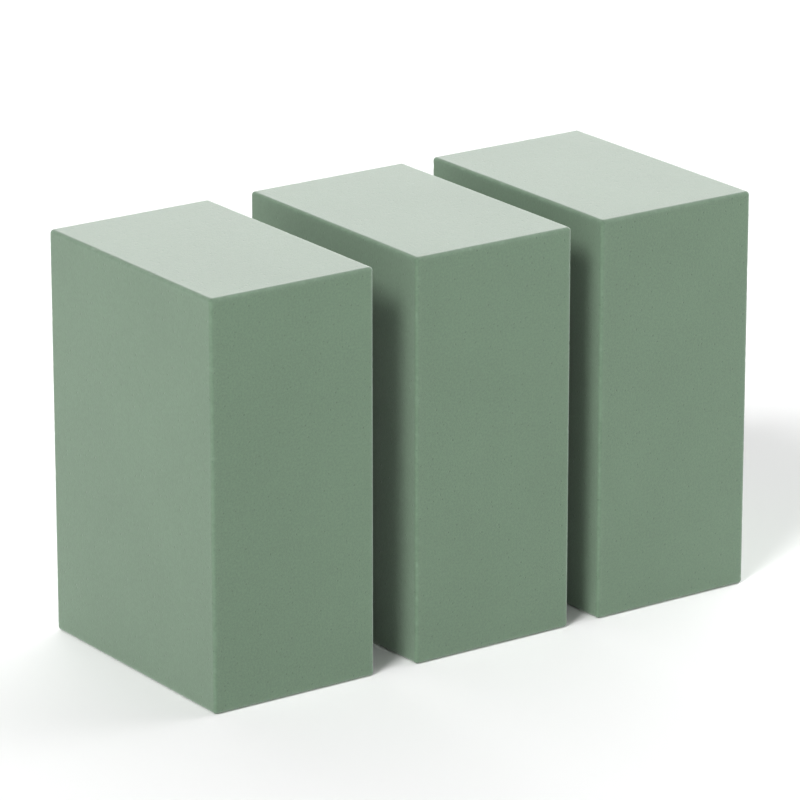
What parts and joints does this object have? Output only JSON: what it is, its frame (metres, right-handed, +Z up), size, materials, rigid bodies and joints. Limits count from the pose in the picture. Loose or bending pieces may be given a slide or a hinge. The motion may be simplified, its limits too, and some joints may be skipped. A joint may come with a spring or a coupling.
{
  "type": "floral foam brick",
  "caption": "Row of loose upright rectangular blocks of sage-green floral foam, with plain matt faces and slightly rounded edges, for holding cut stems.",
  "frame": {"origin": "centre of the row's footprint, on the surface that the bricks stand on", "axes": "+X along the row from brick_left to brick_right, +Y across the row from the front faces to the back faces, +Z up along the bricks' standing height"},
  "size_m": [0.246, 0.11, 0.159],
  "materials": {
    "foam": "dry phenolic foam, fully matt, even sage green, wire-cut faces with fine open cells"
  },
  "bodies": {
    "middle_brick": {"brick_middle": "foam"},
    "left_brick": {"brick_left": "foam"},
    "right_brick": {"brick_right": "foam"}
  },
  "joints": [
    {"name": "left_brick_lift", "type": "slide", "parent": "middle_brick", "child": "left_brick", "axis": [0, 0, 1], "range_m": [0, 0.18]},
    {"name": "right_brick_lift", "type": "slide", "parent": "middle_brick", "child": "right_brick", "axis": [0, 0, 1], "range_m": [0, 0.18]}
  ]
}
